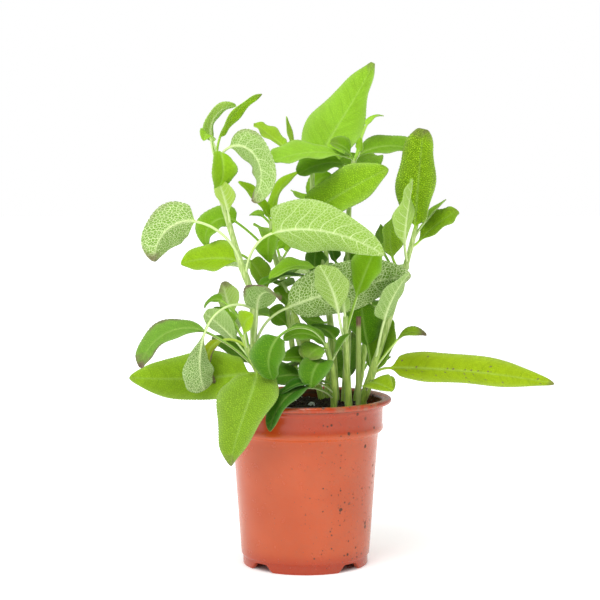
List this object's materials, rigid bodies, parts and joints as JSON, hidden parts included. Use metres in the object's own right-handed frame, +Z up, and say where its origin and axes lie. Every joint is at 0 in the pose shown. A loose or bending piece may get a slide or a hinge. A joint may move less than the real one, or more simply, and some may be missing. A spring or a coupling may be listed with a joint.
{
  "type": "potted sage",
  "caption": "Footed round nursery pot of soil with a bushy sage plant of upright leafy stems and broad oblong leaves.",
  "frame": {"origin": "centre of the flat boss under the pot, on the pot's axis, at the level that the pot stands on", "axes": "+Z up, +X to the right of the pot as seen from its front, +Y to its back"},
  "size_m": [0.2571, 0.1712, 0.3078],
  "materials": {
    "pot_plastic": "satin moulded terracotta-coloured plastic",
    "soil": "loose dark potting soil",
    "sage": "soft, finely haired leaf",
    "dry_stem": "dry woody stem"
  },
  "bodies": {
    "root": {"pot": "pot_plastic", "soil": "soil", "stem_left_tall": "sage", "stem_left_low": "sage", "stem_centre_left": "sage", "stem_centre_back": "sage", "stem_centre": "sage", "stem_right": "sage", "stem_front": "sage", "stem_front_low": "sage", "stem_dry_stub": "dry_stem", "stem_back_left": "sage", "stem_back": "sage", "stem_back_right": "sage"}
  },
  "joints": []
}
